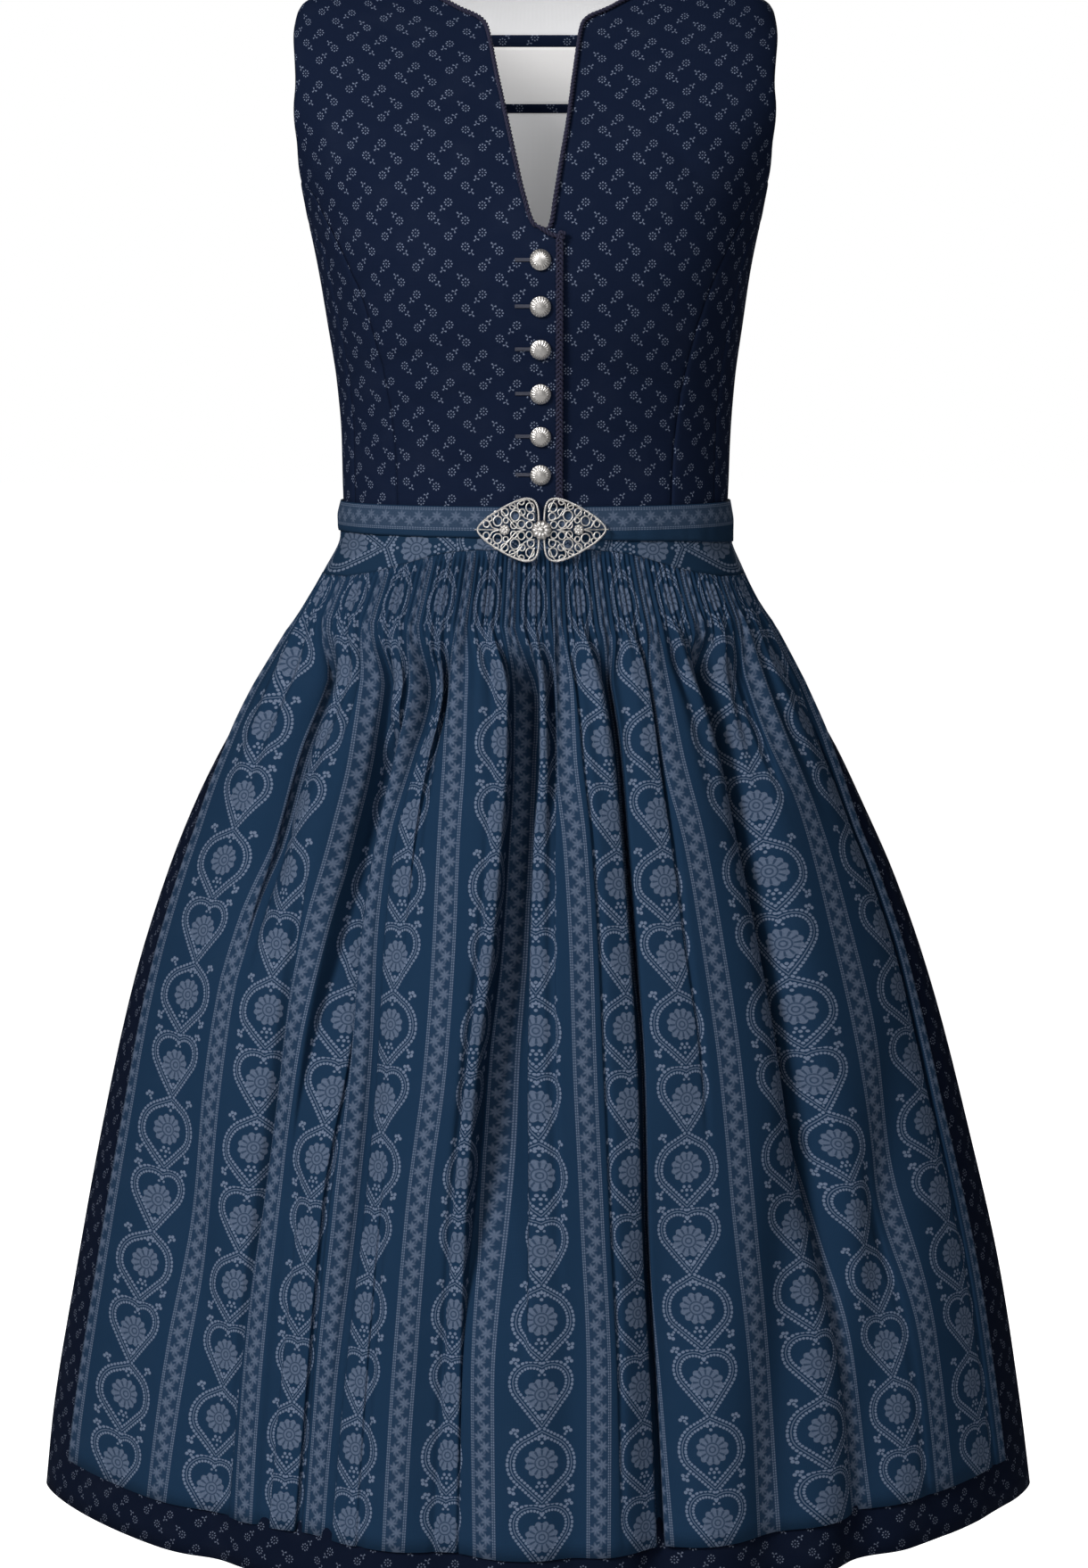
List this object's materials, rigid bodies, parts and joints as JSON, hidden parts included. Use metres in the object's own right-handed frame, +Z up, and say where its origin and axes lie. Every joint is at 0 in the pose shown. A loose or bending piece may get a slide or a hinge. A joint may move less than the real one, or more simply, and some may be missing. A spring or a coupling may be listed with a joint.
{
  "type": "dirndl dress with apron",
  "caption": "Sleeveless folk dress: fitted buttoned bodice with laced edge, flared gathered skirt and a gauged apron closed by a metal clasp, hollow as worn.",
  "frame": {"origin": "midway between the two points where the shoulder seams meet the neck, where the garment hangs on its wearer", "axes": "+Z up, front faces -Y, the wearer's left is +X; the hem lies 0.97 m below the origin"},
  "size_m": [0.6493, 0.3979, 0.9707],
  "materials": {
    "bodice_print": "matt dark blue cotton with small pale sprigs",
    "skirt_print": "matt dark blue cotton with small pale sprigs",
    "apron_print": "matt blue cotton with a striped border print",
    "lining": "light grey lining",
    "label": "bare woven label",
    "braid": "dark twisted and plaited cord",
    "silver": "silver-coloured pressed metal"
  },
  "bodies": {
    "root": {"apron": "apron_print", "apron_tie_left": "apron_print", "apron_tie_right": "apron_print", "apron_yoke": "apron_print", "bodice_back_centre": "bodice_print", "bodice_back_side_left": "bodice_print", "bodice_back_side_right": "bodice_print", "bodice_front_left": "bodice_print", "bodice_front_right": "bodice_print", "bodice_side_left": "bodice_print", "bodice_side_right": "bodice_print", "button_1": "silver", "button_2": "silver", "button_3": "silver", "button_4": "silver", "button_5": "silver", "button_6": "silver", "clasp_left": "silver", "clasp_right": "silver", "clasp_rosette": "silver", "label_panel": "label", "label_strip_bottom": "bodice_print", "label_strip_top": "bodice_print", "lining_back_centre": "lining", "lining_back_side_left": "lining", "lining_back_side_right": "lining", "neck_cord_left": "braid", "neck_cord_right": "braid", "placket_braid": "braid", "skirt_back": "skirt_print", "skirt_front": "skirt_print"}
  },
  "joints": []
}
